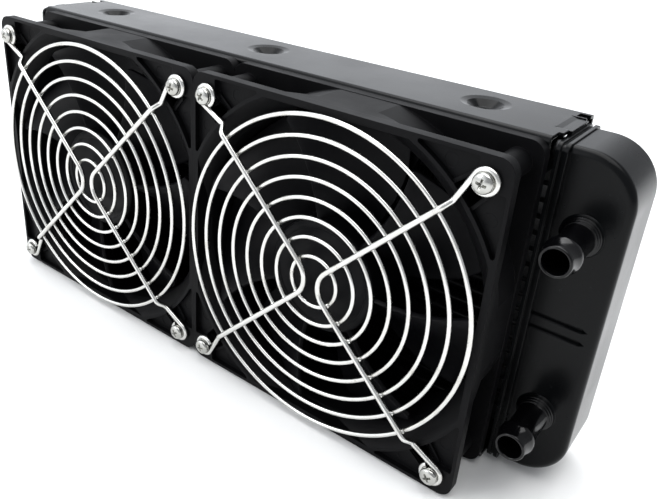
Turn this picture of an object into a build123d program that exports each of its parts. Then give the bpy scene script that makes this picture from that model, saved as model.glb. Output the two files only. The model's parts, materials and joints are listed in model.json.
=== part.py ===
"""Liquid cooling radiator: an aluminium core with end tanks, two 120 mm fans and their wire guards.

The working frame has X along the radiator with X = 0 at the seam between the fans, Y = 0 at the fans'
front face with +Y towards the back, and Z = 0 at the fans' axes. Each part is moved from there to the
row frame, whose origin is the middle of the bottom of the bounding box. Lengths are in millimetres.
"""

from build123d import *
import math
import os

os.makedirs("parts", exist_ok=True)

# Fans
FAN = 120.0
FAN_DEPTH = 25.0
HOLE_PITCH = 105.0
FLANGE = 3.8
FLANGE_CORNER = 5.0
FRAME_HOLE_R = 2.15
POST_R = 4.3
THROAT_R = 57.3
DUCT_R = 60.9
MOUTH_R = 63.8
MOUTH_DEPTH = 7.5
MOUTH_RIM = 2.4
RIB_R = 65.1
POCKET_DEPTH = 2.2
POCKET_RIM = 1.2
BOSS = 10.5
PIN_MARK_R = 2.2
SLOT_DEPTH = 12.0
SLOT_WALL = 1.2
FAN_CENTRES = {"left": -FAN / 2, "right": FAN / 2}

# Impeller and motor
BLADES = 7
BLADE_TIP_R = 56.2
BLADE_THICKNESS = 1.6
BLADE_FRONT = 3.0
BLADE_BACK = 19.0
BLADE_SWEEP = 42.0
LEADING_EDGE = {20.0: -1.2, 28.0: -0.5, 36.0: 1.3, 44.0: 3.9, 51.0: 6.6, 58.5: 9.6}
ROTOR_REST = {"left": 9.3, "right": 0.0}
HUB_R = 21.0
HUB_FRONT = 1.5
HUB_BACK = 19.5
HUB_INNER_R = 19.4
HUB_FACE = 2.0
HUB_BOSS_R = 4.0
SHAFT_R = 1.5
SHAFT_CLEARANCE = 0.05
BEARING_R = 4.0
BEARING_LENGTH = 4.0
BEARING_STARTS = {"front": 8.6, "rear": 15.4}
BEARING_TUBE_R = 5.2
BASE_R = 21.5
BASE_FRONT = 22.0
STRUTS = 4

# Wire guards
RINGS = 8
RING_WIRE_R = 0.8
RING_INNER_R = 9.3
RING_OUTER_R = 57.5
RING_Y = -2.3
SPOKE_WIRE_R = 1.0
SPOKE_Y = RING_Y - RING_WIRE_R - SPOKE_WIRE_R + 0.2
APEX_BEND_R = 8.5
APEX_CORNER = 0.7
JOG_START = 59.6
JOG_END = 62.6
EYELET_R = 3.45

# Fan screws
SCREW_R = 1.75
SCREW_HEAD_R = 3.1
SCREW_HEAD = 2.2
SCREW_UNDER_HEAD = 28.0

# Radiator
PLATE_LEFT = -125.0
PLATE_RIGHT = 120.6
PLATE_FRONT = 25.0
PLATE_BACK = 60.2
PLATE_Z = 60.8
PLATE_WALL = 1.2
PLATE_BEND_R = 2.0
PLATE_LEG = 12.0
TAPPED_R = 1.45
DISH_HOLES = (-95.5, -2.5, 90.5)
DISH_Y = 43.5
DISH_R = 8.4
DISH_STEP_R = 6.2
DISH_HOLE_R = 2.0
DISH_DEPTH = 2.4
TONGUE_Y = (36.5, 51.5)
TONGUE_DROP = 0.35
TONGUE_REACH = 0.9
TUBES = 17
TUBE_PITCH = 5.6
TUBE_THICKNESS = 1.8
TUBE_WALL = 0.3
CORE_MID_Y = 41.2
CORE_DEPTH = 21.6
TUBE_INTO_TANK = 2.0
FIN_PITCH = 6.0
FIN_THICKNESS = 0.25
FIN_FLAT = 0.8
SUPPORT_THICKNESS = 1.0
HEADER_Z = 59.2
HEADER_GAP = 0.3
HEADER_WALL = 1.2
HEADER_FRONT = 26.4
HEADER_BACK = 56.0
HEADER_LIP = 0.8
HEADER_LENGTH = 3.6
HEADER_CORNER = 2.6
TANK_FRONT = 28.4
TANK_BACK = 54.0
TANK_END = 145.8
TANK_Z = 58.7
TANK_CORNER = 16.0
TANK_EDGE = 2.4
TANK_WALL = 1.8
RETURN_END = -134.0
RETURN_EDGE = 3.0
BAFFLE = 1.5
GROOVE_Z = 2.3
GROOVE_END = 3.6
GROOVE_WIDTH = 1.8
GROOVE_DEPTH = 1.1

# Hose barbs
BARB_X = 133.3
BARB_Z = 33.0
BARB_MOUTH = 6.0
BARB_BORE_R = 3.8
BARB_TUBE_R = 4.85
BARB_CROWN_R = 5.75
BARB_CROWN = 1.2
BARB_LIP = 1.6
BARB_RAMP = 3.4
BARB_COLLARS = ((6.3, 1.5), (5.9, 0.9), (5.5, 0.8))

FRONT_Y = min(SPOKE_Y - SPOKE_WIRE_R, -2 * SPOKE_WIRE_R - SCREW_HEAD)
ROW_ORIGIN = ((RETURN_END + TANK_END) / 2, (FRONT_Y + PLATE_BACK) / 2, -PLATE_Z)


def slab(sketch, y_from, y_to):
    """A sketch drawn in X and Z as a solid between two depths."""
    return Pos(0, y_from, 0) * extrude(Plane.XZ * sketch, amount=y_from - y_to)


def block(x, y, z):
    """A box from three (low, high) pairs."""
    size = [high - low for low, high in (x, y, z)]
    middle = [(high + low) / 2 for low, high in (x, y, z)]
    return Pos(*middle) * Box(*size)


def turned(profile, x=0.0, z=0.0):
    """A solid turned about an axis along Y, from (radius, depth) points."""
    face = make_face(Polyline(*profile, close=True))
    return Pos(x, 0, z) * revolve(face, Axis.Y)


def tube_y(radius, y_from, y_to, x=0.0, z=0.0):
    """A round bar along Y."""
    return turned([(0, y_from), (radius, y_from), (radius, y_to), (0, y_to)], x, z)


def ring_y(inner, outer, y_from, y_to):
    """A plain ring about the fan's axis."""
    return turned([(inner, y_from), (outer, y_from), (outer, y_to), (inner, y_to)])


def corners(pitch=HOLE_PITCH):
    """The four corners of a square about the fan's axis, as (x, z)."""
    half = pitch / 2
    return [(sx * half, sz * half) for sx in (-1, 1) for sz in (-1, 1)]


def polar(radius, degrees):
    """A point in X and Z at an angle from +X towards +Z."""
    return radius * math.cos(math.radians(degrees)), radius * math.sin(math.radians(degrees))


def bell_mouth():
    """The air path that is cut through a frame: a flared mouth, kept inside the square rim, and a throat."""
    middle = ((MOUTH_R + THROAT_R) / 2 - 0.6, MOUTH_DEPTH / 2 - 0.6)
    outline = [
        Line((0, -1), (MOUTH_R, -1)),
        Line((MOUTH_R, -1), (MOUTH_R, 0)),
        ThreePointArc((MOUTH_R, 0), middle, (THROAT_R, MOUTH_DEPTH)),
        Line((THROAT_R, MOUTH_DEPTH), (THROAT_R, FAN_DEPTH + 1)),
        Line((THROAT_R, FAN_DEPTH + 1), (0, FAN_DEPTH + 1)),
        Line((0, FAN_DEPTH + 1), (0, -1)),
    ]
    half = FAN / 2 - MOUTH_RIM
    return revolve(make_face(outline), Axis.Y) & block((-half, half), (-2, FAN_DEPTH + 2), (-half, half))


def pocket():
    """One recess beside a corner boss, between the square rim and the rib round the mouth, in the +X, +Z corner."""
    rim = FAN / 2 - POCKET_RIM
    boss = FAN / 2 - BOSS
    start = (rim, math.sqrt(RIB_R**2 - rim**2))
    end = polar(RIB_R, 41.5)
    middle = polar(RIB_R, (41.5 + math.degrees(math.atan2(start[1], start[0]))) / 2)
    outline = [
        Line(start, (rim, boss)),
        Line((rim, boss), (boss + 4.4, boss)),
        Line((boss + 4.4, boss), end),
        ThreePointArc(end, middle, start),
    ]
    face = make_face(outline)
    return fillet(face.vertices(), 0.7)


def diagonal_slot():
    """The deep recess between the rib and the corner post, in the +X, +Z corner."""
    low = polar(RIB_R, 41.5)
    high = polar(RIB_R, 48.5)
    near = FAN / 2 - BOSS + 3.0
    far = FAN / 2 - BOSS - 1.7
    outline = [
        Line(low, (near, far)),
        Line((near, far), (far, near)),
        Line((far, near), high),
        ThreePointArc(high, polar(RIB_R, 45), low),
    ]
    return make_face(outline)


def fan_frame():
    """A moulded open-corner frame with its duct, corner posts, motor base and struts."""
    outline = RectangleRounded(FAN, FAN, FLANGE_CORNER)
    body = slab(outline, 0, FLANGE) + slab(outline, FAN_DEPTH - FLANGE, FAN_DEPTH)
    recess = pocket()
    slot = diagonal_slot()
    for turn in (0, 90, 180, 270):
        spin = Rot(0, turn, 0)
        body -= spin * slab(recess, -1, POCKET_DEPTH)
        body -= spin * slab(mirror(recess, Plane((0, 0, 0), z_dir=(1, -1, 0))), -1, POCKET_DEPTH)
        body += spin * slab(offset(slot, SLOT_WALL), 1, SLOT_DEPTH + SLOT_WALL)
        body -= spin * slab(slot, -1, SLOT_DEPTH)
        for x, z in ((54.6, 40.5), (40.5, 54.6)):
            body -= spin * tube_y(PIN_MARK_R, 0, POCKET_DEPTH + 0.12, x, z)
    duct = turned(
        [(0, 1), (RIB_R, 1), (RIB_R, 1.8), (DUCT_R, 8.6), (DUCT_R, FAN_DEPTH - 1), (0, FAN_DEPTH - 1)]
    )
    half = FAN / 2 - 0.15
    body += duct & block((-half, half), (0, FAN_DEPTH), (-half, half))
    for x, z in corners():
        body += tube_y(POST_R, FLANGE / 2, FAN_DEPTH - FLANGE / 2, x, z)
    body -= bell_mouth()
    for x, z in corners():
        body -= tube_y(FRAME_HOLE_R, -1, FAN_DEPTH + 1, x, z)
    base = tube_y(BASE_R, BASE_FRONT, FAN_DEPTH) + ring_y(BASE_R - 1.3, BASE_R, HUB_BACK + 0.7, BASE_FRONT + 1)
    base += ring_y(BEARING_R, BEARING_TUBE_R, BEARING_STARTS["front"] - 0.6, BASE_FRONT + 1)
    strut = block((BASE_R - 1, THROAT_R + 1.5), (BASE_FRONT - 0.2, FAN_DEPTH), (-2.1, 2.1))
    for number in range(STRUTS):
        base += Rot(0, 22.5 + number * 360 / STRUTS, 0) * strut
    return body + base


def blade():
    """One swept blade: a skin through points on seven arcs, thickened and trimmed at the hub and the tip."""
    rows = []
    for radius, lead in LEADING_EDGE.items():
        row = []
        for step in range(7):
            along = step / 6
            x, z = polar(radius, lead - BLADE_SWEEP * along)
            depth = BLADE_FRONT + (BLADE_BACK - BLADE_FRONT) * math.sin(along * math.pi / 2) ** 1.15
            row.append(Vector(x, depth, z))
        rows.append(row)
    skin = Face.make_surface_from_array_of_points(rows, tol=0.01)
    solid = Solid.thicken(skin, BLADE_THICKNESS / 2) + Solid.thicken(skin, -BLADE_THICKNESS / 2)
    return solid & ring_y(HUB_R - 1.0, BLADE_TIP_R, 0, FAN_DEPTH)


def impeller():
    """The hub cup with its boss and seven blades."""
    hub = tube_y(HUB_R, HUB_FRONT, HUB_BACK)
    hub = fillet(hub.edges().sort_by(Axis.Y)[0], 1.4)
    hub -= tube_y(HUB_INNER_R, HUB_FRONT + HUB_FACE, HUB_BACK + 1)
    hub += tube_y(HUB_BOSS_R, HUB_FRONT + 1, BEARING_STARTS["front"] - 1.2)
    hub -= tube_y(SHAFT_R, HUB_FRONT + 1.2, HUB_BACK)
    one = blade()
    for number in range(BLADES):
        hub += Rot(0, -number * 360 / BLADES, 0) * one
    return hub


def rotor_shaft():
    """The steel shaft, with the groove for its clip."""
    groove = (20.0, 20.45)
    shaft = tube_y(SHAFT_R, HUB_FRONT + 1.2, BASE_FRONT - 0.6)
    return shaft - ring_y(SHAFT_R - 0.35, SHAFT_R + 1, *groove)


def shaft_clip():
    """The split washer that holds the shaft behind the rear bearing."""
    washer = ring_y(SHAFT_R - 0.35, 2.9, 20.05, 20.4)
    return washer - block((-0.4, 0.4), (19, 21), (0, 4))


def rotor_yoke():
    """The steel cup inside the hub that carries the magnet."""
    front = HUB_FRONT + HUB_FACE
    cup = tube_y(HUB_INNER_R, front, 17.0) - tube_y(HUB_INNER_R - 0.8, front + 0.8, 18)
    return cup - tube_y(HUB_BOSS_R, front - 1, front + 2)


def rotor_magnet():
    """The ring magnet inside the yoke."""
    return ring_y(16.4, HUB_INNER_R - 0.8, 6.0, 16.2)


def stator_core():
    """The laminated four-pole core on the bearing tube."""
    core = ring_y(BEARING_TUBE_R, 7.8, 8.8, 15.2)
    pole = block((7.0, 13.6), (8.8, 15.2), (-1.6, 1.6))
    shoe = ring_y(13.4, 15.8, 8.8, 15.2) & block((0, 20), (0, 20), (-8.6, 8.6))
    for turn in (0, 90, 180, 270):
        core += Rot(0, turn, 0) * (pole + shoe)
    return core


def stator_coils():
    """Four windings, one round each pole."""
    outside = block((8.2, 12.7), (7.3, 16.7), (-3.6, 3.6))
    outside = fillet(outside.edges().filter_by(Axis.X), 1.2)
    coil = outside - block((7, 14), (8.8, 15.2), (-1.6, 1.6))
    return Compound([Rot(0, turn, 0) * coil for turn in (0, 90, 180, 270)])


def circuit_board():
    """The motor's round board, between the windings and the base."""
    return ring_y(BEARING_TUBE_R, 17.4, 18.0, 19.0)


def ball_bearing(y_from):
    """A small ball bearing, drawn closed, with its bore just clear of the shaft."""
    return ring_y(SHAFT_R + SHAFT_CLEARANCE, BEARING_R, y_from, y_from + BEARING_LENGTH)


def guard_rings():
    """The concentric wire rings, one solid each."""
    step = (RING_OUTER_R - RING_INNER_R) / (RINGS - 1)
    radii = [RING_INNER_R + step * number for number in range(RINGS)]
    flat = Plane((0, RING_Y, 0), z_dir=(0, 1, 0))
    return Compound([flat * Torus(radius, RING_WIRE_R) for radius in radii])


def spoke_path():
    """One spoke wire's line: an open eyelet, a jog up to the rings, a bend near the axis, and back again.

    The loop runs the same way round each screw, so the lower arm meets its loop from the other side.
    """
    corner_r = HOLE_PITCH / math.sqrt(2)
    turn = math.degrees(math.asin(EYELET_R / (corner_r - JOG_END)))

    def eyelet(angle):
        """The tangent point and the loop's arc at the corner at that angle."""
        centre = polar(corner_r, angle)
        touch, middle, end = (polar(EYELET_R, angle + 90 + turn - sweep) for sweep in (0, 145, 290))
        points = [(centre[0] + x, -SPOKE_WIRE_R, centre[1] + z) for x, z in (touch, middle, end)]
        return points[0], ThreePointArc(*points)

    def arm_point(radius, depth, angle):
        """A point on the arm's diagonal."""
        x, z = polar(radius, angle)
        return x, depth, z

    first, first_loop = eyelet(135)
    last, last_loop = eyelet(225)
    points = [
        first,
        arm_point(JOG_END, -SPOKE_WIRE_R, 135),
        arm_point(JOG_START, SPOKE_Y, 135),
        (APEX_CORNER, SPOKE_Y, 0),
        arm_point(JOG_START, SPOKE_Y, 225),
        arm_point(JOG_END, -SPOKE_WIRE_R, 225),
        last,
    ]
    run = FilletPolyline(*points, radius=[2.0, 2.5, APEX_BEND_R, 2.5, 2.0])
    return Wire(first_loop.edges() + run.edges() + last_loop.edges())


def guard_spokes():
    """The two bent spoke wires, each holding two corners."""
    path = spoke_path()
    section = Plane(origin=path @ 0, z_dir=path % 0) * Circle(SPOKE_WIRE_R)
    wire = sweep(section, path=path, transition=Transition.RIGHT)
    return Compound([wire, Rot(0, 180, 0) * wire])


def fan_screws():
    """Four pan-head screws through the eyelets, the frame and the radiator's front flange."""
    seat = -2 * SPOKE_WIRE_R
    head = tube_y(SCREW_HEAD_R, seat - SCREW_HEAD, seat)
    head = fillet(head.edges().sort_by(Axis.Y)[0], 1.1)
    for angle in (0, 90):
        cross = block((-2.0, 2.0), (seat - SCREW_HEAD - 1, seat - 1.0), (-0.4, 0.4))
        head -= Rot(0, angle, 0) * cross
    screw = head + tube_y(SCREW_R, seat, seat + SCREW_UNDER_HEAD)
    return Compound([Pos(x, 0, z) * screw for x, z in corners()])


def tube_section(depth, thickness):
    """The flat tube's section, drawn in Y and Z."""
    return Plane.YZ * SlotOverall(depth, thickness)


def tube_heights():
    """The heights of the coolant tubes."""
    return [(number - (TUBES - 1) / 2) * TUBE_PITCH for number in range(TUBES)]


def header_base(side):
    """Where the inlet (+1) or return (-1) header's base plate starts, next to the side plates."""
    return PLATE_RIGHT + HEADER_GAP if side > 0 else PLATE_LEFT - HEADER_GAP


def core_tubes():
    """Flat coolant tubes from header to header."""
    start = header_base(-1) - HEADER_WALL - TUBE_INTO_TANK
    length = header_base(1) + HEADER_WALL + TUBE_INTO_TANK - start
    outer = extrude(tube_section(CORE_DEPTH, TUBE_THICKNESS), amount=length)
    inner = extrude(tube_section(CORE_DEPTH - 2 * TUBE_WALL, TUBE_THICKNESS - 2 * TUBE_WALL), amount=length)
    tube = outer - inner
    return Compound([Pos(start, CORE_MID_Y, z) * tube for z in tube_heights()])


def core_fins():
    """Folded fin strips, one in each gap between tubes and one outside each end tube."""
    height = TUBE_PITCH - TUBE_THICKNESS
    rise = height - FIN_THICKNESS
    run = FIN_PITCH / 2 - FIN_FLAT
    shift = FIN_THICKNESS / 2 * math.tan(math.atan2(rise, run) / 2)
    start = PLATE_LEFT + 3.0
    folds = int((PLATE_RIGHT - 3.0 - start) / FIN_PITCH)
    upper, lower = [], []
    for fold in range(folds):
        left = start + fold * FIN_PITCH
        for x, level, sign in (
            (left, -1, 1),
            (left + FIN_FLAT, -1, -1),
            (left + FIN_FLAT + run, 1, -1),
            (left + 2 * FIN_FLAT + run, 1, 1),
        ):
            middle = level * rise / 2
            upper.append((x - level * sign * level * shift, middle + FIN_THICKNESS / 2))
            lower.append((x + level * sign * level * shift, middle - FIN_THICKNESS / 2))
    face = make_face(Polyline(*upper, *reversed(lower), close=True))
    strip = Pos(0, CORE_MID_Y - CORE_DEPTH / 2 + 0.5, 0) * extrude(Plane.XZ * face, amount=1 - CORE_DEPTH)
    heights = [z + TUBE_PITCH / 2 for z in tube_heights()] + [tube_heights()[0] - TUBE_PITCH / 2]
    return Compound([Pos(0, 0, z) * strip for z in heights])


def core_supports():
    """The two thin plates that close the fin stack and the open side of each side plate."""
    low = tube_heights()[-1] + TUBE_PITCH - TUBE_THICKNESS / 2
    x = (PLATE_LEFT + 1, PLATE_RIGHT - 1)
    y = (PLATE_FRONT + PLATE_WALL, PLATE_BACK - PLATE_WALL)
    upper = block(x, y, (low, low + SUPPORT_THICKNESS))
    return Compound([upper, mirror(upper, Plane.XY)])


def dish(x):
    """A pressed countersink in the top plate, the same thickness as the plate."""
    outline = [
        (DISH_R, 0),
        (DISH_STEP_R, -0.45),
        (3.4, -DISH_DEPTH),
        (DISH_HOLE_R, -DISH_DEPTH),
        (DISH_HOLE_R, -DISH_DEPTH - PLATE_WALL),
        (3.9, -DISH_DEPTH - PLATE_WALL),
        (DISH_STEP_R + 0.4, -0.45 - PLATE_WALL),
        (DISH_R, -PLATE_WALL),
    ]
    face = Plane.XZ * make_face(Polyline(*outline, close=True))
    return Pos(x, DISH_Y, PLATE_Z) * revolve(face, Axis.Z)


def side_plate():
    """The top side plate: a channel with pressed screw dishes and a stepped tongue over each header."""
    top = PLATE_Z
    x = (PLATE_LEFT, PLATE_RIGHT)
    channel = block(x, (PLATE_FRONT, PLATE_BACK), (top - PLATE_LEG, top))
    bends = channel.edges().filter_by(Axis.X).group_by(Axis.Z)[-1]
    channel = fillet(bends, PLATE_BEND_R)
    hollow = block(
        (x[0] - 1, x[1] + 1),
        (PLATE_FRONT + PLATE_WALL, PLATE_BACK - PLATE_WALL),
        (top - PLATE_LEG - 1, top - PLATE_WALL),
    )
    inner_bends = hollow.edges().filter_by(Axis.X).group_by(Axis.Z)[-1]
    channel -= fillet(inner_bends, PLATE_BEND_R - PLATE_WALL)
    for hole_x in DISH_HOLES:
        channel -= Pos(hole_x, DISH_Y, top) * Cylinder(DISH_R, 4 * PLATE_WALL)
        channel += dish(hole_x)
    for end, side in ((PLATE_RIGHT, 1), (PLATE_LEFT, -1)):
        channel -= block(
            sorted((end - side * 4.5, end + side)),
            (TONGUE_Y[0] - 0.5, TONGUE_Y[1] + 0.5),
            (top - 2, top + 1),
        )
        outline = [
            (end - side * 5.5, top),
            (end - side * 4.2, top),
            (end - side * 2.4, top - TONGUE_DROP),
            (end + side * TONGUE_REACH, top - TONGUE_DROP),
            (end + side * TONGUE_REACH, top - TONGUE_DROP - PLATE_WALL),
            (end - side * 2.8, top - TONGUE_DROP - PLATE_WALL),
            (end - side * 4.6, top - PLATE_WALL),
            (end - side * 5.5, top - PLATE_WALL),
        ]
        channel += slab(make_face(Polyline(*outline, close=True)), *TONGUE_Y)
        channel -= block(sorted((end - side * 3.4, end + side)), (PLATE_BACK - 7.6, PLATE_BACK - 3.4), (top - 2, top + 1))
        channel -= block(
            sorted((end - side * 1.4, end + side)),
            (PLATE_FRONT - 1, TONGUE_Y[0] - 5),
            (top - PLATE_LEG - 1, top + 1),
        )
    for centre in FAN_CENTRES.values():
        for offset in (-HOLE_PITCH / 2, HOLE_PITCH / 2):
            place = (centre + offset, HOLE_PITCH / 2)
            channel -= tube_y(SCREW_R, PLATE_FRONT - 1, CORE_MID_Y, *place)
            channel -= tube_y(TAPPED_R, CORE_MID_Y, PLATE_BACK + 1, *place)
    return channel


def header_plate(side):
    """A slotted pan that the tubes enter and the tank sits in, with a groove between its two lips."""
    base = header_base(side)
    lip = header_box(side, 0, HEADER_WALL, 0)
    wall = header_box(side, 0, HEADER_LENGTH, HEADER_LIP)
    end_lip = header_box(side, HEADER_LENGTH - HEADER_WALL, HEADER_LENGTH, 0)
    inside = header_box(side, HEADER_WALL, HEADER_LENGTH + 1, HEADER_LIP + HEADER_WALL)
    pan = lip + wall + end_lip - inside
    slot = extrude(tube_section(CORE_DEPTH, TUBE_THICKNESS), amount=20, both=True)
    for z in tube_heights():
        pan -= Pos(base, CORE_MID_Y, z) * slot
    return pan


def header_box(side, from_base, to_base, inset):
    """A round-cornered box of the header's section between two distances from its base, drawn in by inset."""
    base = header_base(side)
    x = sorted((base + side * from_base, base + side * to_base))
    y = (HEADER_FRONT + inset, HEADER_BACK - inset)
    z = (-HEADER_Z + inset, HEADER_Z - inset)
    box = block(x, y, z)
    return fillet(box.edges().filter_by(Axis.X), max(0.5, HEADER_CORNER - inset))


def tank_skirt(side, reach):
    """The box that fills a header pan inside its walls, from just above the base plate to reach."""
    return header_box(side, HEADER_WALL + 1.0, reach, HEADER_LIP + HEADER_WALL)


def rounded_tank(x_from, x_to, y, half_z, corner, edge):
    """A block with its two far corners and its front and back edges rounded; x_to is the far end."""
    body = block(sorted((x_from, x_to)), y, (-half_z, half_z))
    far = body.edges().filter_by(Axis.Y).sort_by(Axis.X)
    body = fillet(far[-2:] if x_to > x_from else far[:2], corner)
    near = [e for e in body.edges() if abs(e.center().X - x_from) < 1e-6]
    faces = body.faces().sort_by(Axis.Y)
    rims = [e for face in (faces[0], faces[-1]) for e in face.edges() if e not in near]
    return fillet(rims, edge)


def inlet_tank():
    """The deep end tank with the hose ports, open towards the header."""
    near = header_base(1) + HEADER_LENGTH
    outer = rounded_tank(near, TANK_END, (TANK_FRONT, TANK_BACK), TANK_Z, TANK_CORNER, TANK_EDGE)
    inner = rounded_tank(
        near - 0.01,
        TANK_END - TANK_WALL,
        (TANK_FRONT + TANK_WALL, TANK_BACK - TANK_WALL),
        TANK_Z - TANK_WALL,
        TANK_CORNER - TANK_WALL,
        TANK_EDGE - TANK_WALL,
    )
    skirt = tank_skirt(1, HEADER_LENGTH + TANK_WALL)
    walls = (TANK_FRONT + TANK_WALL, TANK_BACK - TANK_WALL)
    half = HEADER_Z - HEADER_LIP - HEADER_WALL - TANK_WALL
    bore = block((header_base(1), near + TANK_WALL + 1), walls, (-half, half))
    tank = outer - inner + skirt - bore
    for z in (BARB_Z, -BARB_Z):
        tank -= tube_y(BARB_TUBE_R, TANK_FRONT - 5, TANK_FRONT + 10, BARB_X, z)
    for z in (GROOVE_Z, -GROOVE_Z):
        tank -= crimp_groove(near, z)
    return tank


def crimp_groove(near, height):
    """A pressed V-groove with a pointed far end, across the tank's front face."""
    half = GROOVE_WIDTH / 2
    far = TANK_END - GROOVE_END
    outline = [
        (near - 1, height - half),
        (far - 2 * half, height - half),
        (far, height),
        (far - 2 * half, height + half),
        (near - 1, height + half),
    ]
    taper = math.degrees(math.atan2(half - 0.05, GROOVE_DEPTH))
    inward = Plane((0, TANK_FRONT, 0), x_dir=(1, 0, 0), z_dir=(0, 1, 0))
    face = inward * make_face(Polyline(*outline, close=True))
    return extrude(face, amount=GROOVE_DEPTH, taper=taper)


def return_tank():
    """The shallow end tank at the far end, where the coolant turns back."""
    reach = HEADER_LIP + HEADER_WALL
    near = header_base(-1) - HEADER_WALL - 1.0
    y = (HEADER_FRONT + reach, HEADER_BACK - reach)
    half_z = HEADER_Z - reach
    outer = rounded_tank(near, RETURN_END, y, half_z, RETURN_EDGE, RETURN_EDGE - 0.5)
    wall = TANK_WALL - 0.2
    inner = block((RETURN_END + wall, near + 1), (y[0] + wall, y[1] - wall), (-half_z + wall, half_z - wall))
    return outer - inner


def tank_baffle():
    """The wall across the inlet tank that sends the coolant out through one half of the tubes."""
    x = (header_base(1) + HEADER_WALL + TUBE_INTO_TANK + 1.0, TANK_END - TANK_WALL)
    y = (TANK_FRONT + TANK_WALL, TANK_BACK - TANK_WALL)
    wall = block(x, y, (-BAFFLE / 2, BAFFLE / 2))
    far = wall.edges().filter_by(Axis.Z).sort_by(Axis.X)[-2:]
    return fillet(far, TANK_EDGE - TANK_WALL)


def hose_barb(z):
    """A brazed hose barb: spigot, stepped collars, neck, and a ramped crown behind the mouth."""
    crown = BARB_MOUTH + BARB_LIP + BARB_RAMP
    outline = [
        (BARB_BORE_R, BARB_MOUTH),
        (BARB_TUBE_R, BARB_MOUTH),
        (BARB_TUBE_R, BARB_MOUTH + BARB_LIP),
        (BARB_CROWN_R, crown),
        (BARB_CROWN_R, crown + BARB_CROWN),
        (BARB_TUBE_R, crown + BARB_CROWN + 0.3),
    ]
    depth = TANK_FRONT - sum(length for _, length in BARB_COLLARS)
    outline.append((BARB_TUBE_R, depth))
    for radius, length in reversed(BARB_COLLARS):
        outline.append((radius, depth))
        depth += length
        outline.append((radius, depth))
    outline += [(BARB_TUBE_R, TANK_FRONT), (BARB_TUBE_R, TANK_FRONT + 4), (BARB_BORE_R, TANK_FRONT + 4)]
    return turned(outline, BARB_X, z)


def save(shape, node):
    """Moves a shape to the row frame and writes it under its node's name."""
    moved = Pos(-ROW_ORIGIN[0], -ROW_ORIGIN[1], -ROW_ORIGIN[2]) * shape
    export_step(moved, f"parts/{node}.step")


def save_radiator():
    """The core, headers, tanks, plates and hose barbs."""
    save(core_tubes(), "core_tubes")
    save(core_fins(), "core_fins")
    save(core_supports(), "core_supports")
    save(header_plate(1), "header_plate_inlet")
    save(header_plate(-1), "header_plate_return")
    save(inlet_tank(), "inlet_tank")
    save(return_tank(), "return_tank")
    save(tank_baffle(), "tank_baffle")
    save(hose_barb(BARB_Z), "hose_barb_upper")
    save(hose_barb(-BARB_Z), "hose_barb_lower")
    top = side_plate()
    save(top, "side_plate_top")
    save(mirror(top, Plane.XY), "side_plate_bottom")


def save_fans():
    """Each fan's parts are made once and placed at both centres."""
    wheel = impeller()
    pieces = {
        "fan_frame": fan_frame(),
        "rotor_shaft": rotor_shaft(),
        "shaft_clip": shaft_clip(),
        "rotor_yoke": rotor_yoke(),
        "rotor_magnet": rotor_magnet(),
        "stator_core": stator_core(),
        "stator_coils": stator_coils(),
        "circuit_board": circuit_board(),
        "guard_rings": guard_rings(),
        "guard_spokes": guard_spokes(),
        "fan_screws": fan_screws(),
    }
    for place, start in BEARING_STARTS.items():
        pieces[f"{place}_bearing"] = ball_bearing(start)
    for side, centre in FAN_CENTRES.items():
        for name, piece in pieces.items():
            save(Pos(centre, 0, 0) * piece, f"{name}_{side}")
        save(Pos(centre, 0, 0) * Rot(0, -ROTOR_REST[side], 0) * wheel, f"impeller_{side}")


save_radiator()
save_fans()
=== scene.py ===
"""Liquid cooling radiator: two fans behind wire guards, a painted tube-and-fin core and an end tank.

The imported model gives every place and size. The pieces that carry the looks are modelled here, by hand
operations on primitives, and each one stands for its plain counterpart. Lengths are in metres; sizes that
a maker would quote in millimetres are written as a number times MM.
"""

import json
import logging
import math
from collections.abc import Callable
from dataclasses import dataclass, field
from enum import Enum

import bmesh
import bpy
from mathutils import Matrix, Vector


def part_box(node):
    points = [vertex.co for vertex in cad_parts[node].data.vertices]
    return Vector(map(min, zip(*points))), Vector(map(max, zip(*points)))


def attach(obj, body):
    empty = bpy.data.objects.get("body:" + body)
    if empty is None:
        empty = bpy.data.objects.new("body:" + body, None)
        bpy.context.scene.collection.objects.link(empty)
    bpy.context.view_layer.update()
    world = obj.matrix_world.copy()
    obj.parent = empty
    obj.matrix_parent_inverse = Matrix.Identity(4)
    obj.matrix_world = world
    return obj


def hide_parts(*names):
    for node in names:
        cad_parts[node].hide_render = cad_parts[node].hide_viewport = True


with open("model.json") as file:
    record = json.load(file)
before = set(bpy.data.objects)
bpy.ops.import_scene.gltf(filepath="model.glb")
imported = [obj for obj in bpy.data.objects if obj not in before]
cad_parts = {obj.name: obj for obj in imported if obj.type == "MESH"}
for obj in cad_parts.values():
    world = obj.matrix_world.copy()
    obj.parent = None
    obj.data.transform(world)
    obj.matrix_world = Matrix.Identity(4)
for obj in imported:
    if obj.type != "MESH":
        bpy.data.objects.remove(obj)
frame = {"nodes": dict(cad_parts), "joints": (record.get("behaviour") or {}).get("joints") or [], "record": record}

MM = 0.001
LOG = logging.getLogger("radiator")

Piece = bpy.types.Object
Material = bpy.types.Material
Tree = bpy.types.NodeTree
Socket = bpy.types.NodeSocket
Flat = tuple[float, float]
Point = tuple[float, float, float]
Test = Callable[[Vector, Vector], bool]


class Side(Enum):
    """The two fans, seen from the front."""

    LEFT = "left"
    RIGHT = "right"


class Pick(Enum):
    """What a selection is made of."""

    VERTICES = "VERT"
    EDGES = "EDGE"
    FACES = "FACE"


# ---------------------------------------------------------------------------------------------- tools


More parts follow.
